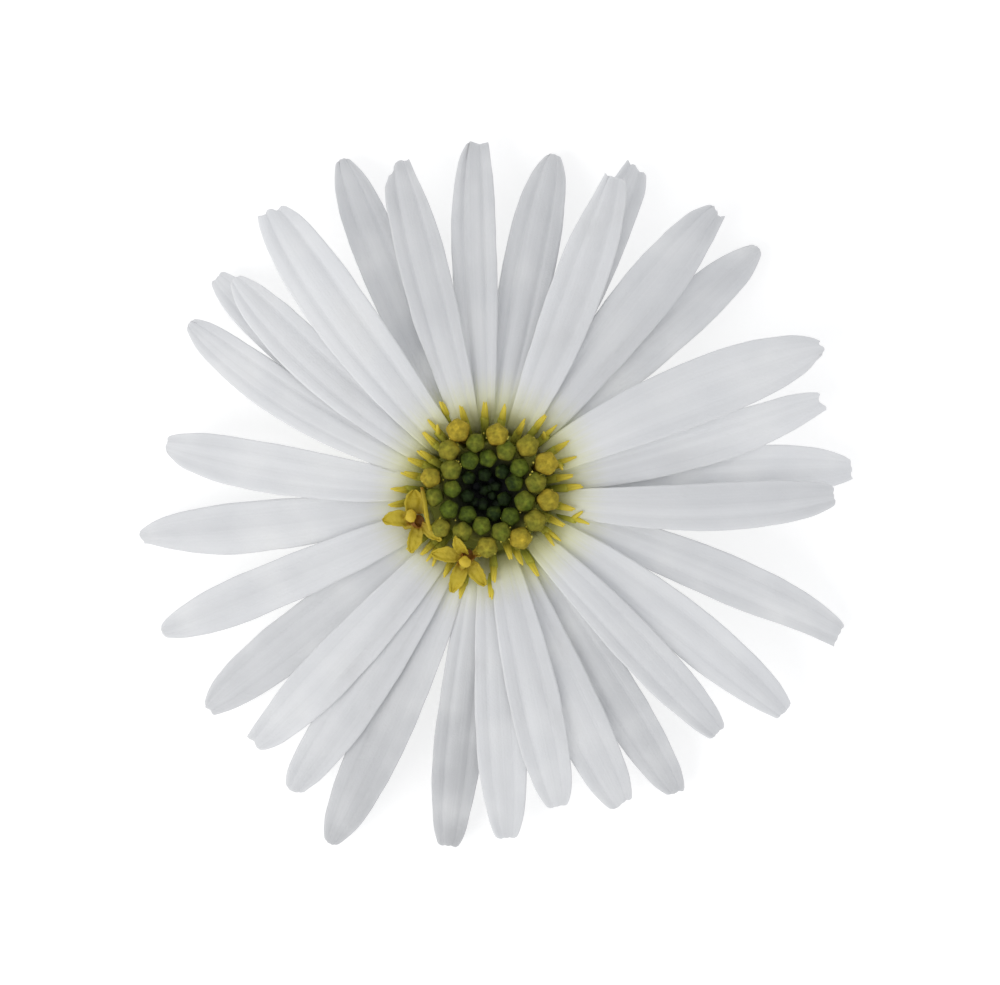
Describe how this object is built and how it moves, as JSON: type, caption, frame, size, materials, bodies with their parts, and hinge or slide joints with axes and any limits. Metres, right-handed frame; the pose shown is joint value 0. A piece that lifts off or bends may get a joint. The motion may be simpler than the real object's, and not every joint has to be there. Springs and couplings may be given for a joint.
{
  "type": "swan river daisy flower head",
  "caption": "Open white daisy flower head without its stem: ring of long toothed petals, a small green and yellow disc and a green cup of bracts beneath.",
  "frame": {"origin": "on the flower's axis, in the small flat scar under the cup where the stem came off, which the head rests on", "axes": "+Z out of the scar and through the disc, the way the flower faces; +Y is the top of the head as the picture shows it and +X its right"},
  "size_m": [0.0361, 0.0357, 0.0071],
  "materials": {
    "bract_green": "matt living green tissue with thin paler margins",
    "petal_white": "soft cool white petal tissue, matt with a faint satin sheen, slightly see-through",
    "bud_green": "closed dark green florets with a slight gloss",
    "floret_yellow": "yellow to olive florets and styles, matt with pollen"
  },
  "bodies": {
    "root": {"involucre_cup": "bract_green", "ray_petals": "petal_white", "disc_green_buds": "bud_green", "disc_yellow_florets": "floret_yellow"}
  },
  "joints": []
}
